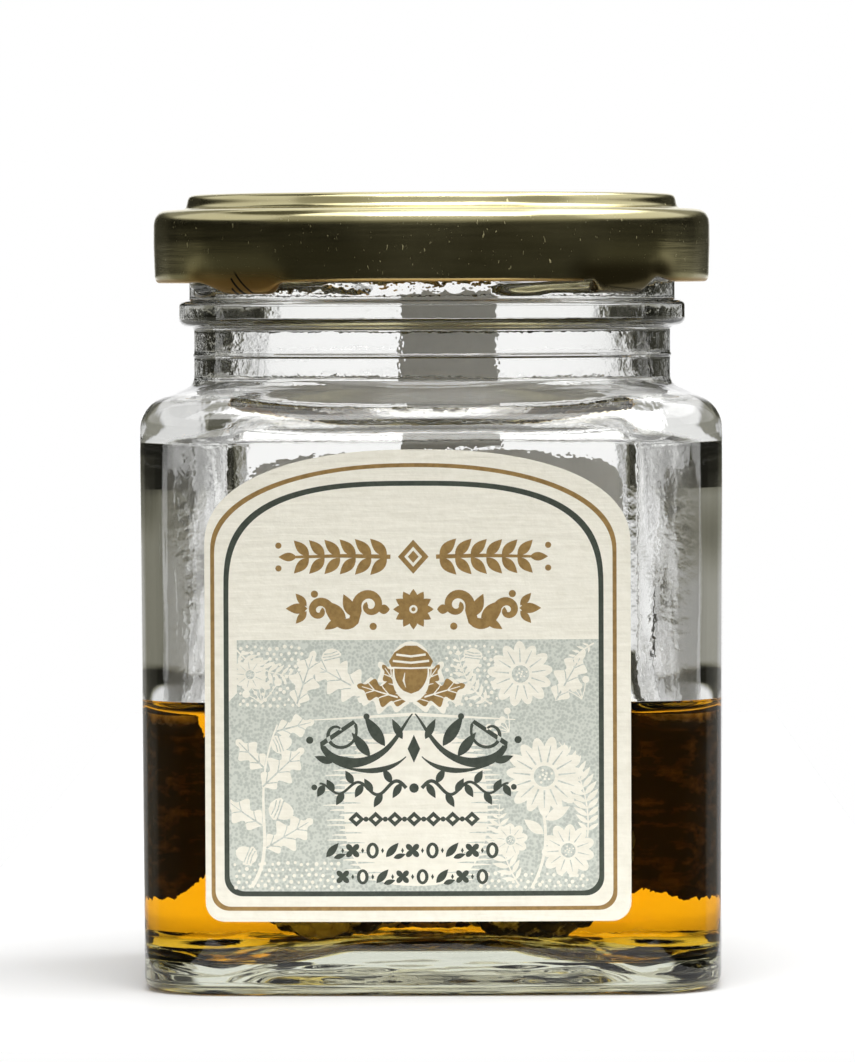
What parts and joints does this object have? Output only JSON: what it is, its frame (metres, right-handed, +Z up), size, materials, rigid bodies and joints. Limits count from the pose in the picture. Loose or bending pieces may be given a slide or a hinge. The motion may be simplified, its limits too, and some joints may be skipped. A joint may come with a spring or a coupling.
{
  "type": "jar of black truffle in brine",
  "caption": "Square glass preserving jar with a twist-off lid, paper labels and whole black truffles in brine.",
  "frame": {"origin": "middle of the jar's footprint, on the surface that it stands on", "axes": "+Z up along the jar's axis, -Y towards the front label, +X to the right of someone who faces the front label"},
  "size_m": [0.0686, 0.0692, 0.0924],
  "materials": {
    "jar_glass": "gloss",
    "gold_tinplate": "gloss",
    "sealing_compound": "matte",
    "label_paper": "matte",
    "plain_paper": "matte",
    "brine": "gloss",
    "truffle": "matte"
  },
  "bodies": {
    "jar": {"glass_jar": "jar_glass", "front_label": "label_paper", "back_label": "plain_paper", "seal_strip": "plain_paper", "brine": "brine", "truffle_1": "truffle", "truffle_2": "truffle", "truffle_3": "truffle"},
    "lid": {"twist_off_lid": "gold_tinplate", "lid_gasket": "sealing_compound", "seal_strip_lid_end": "plain_paper"}
  },
  "joints": [
    {"name": "lid_twist", "type": "hinge", "parent": "jar", "child": "lid", "pos_m": [0, 0, 0.085], "axis": [0, 0, 1], "range_deg": [0, 52]}
  ]
}
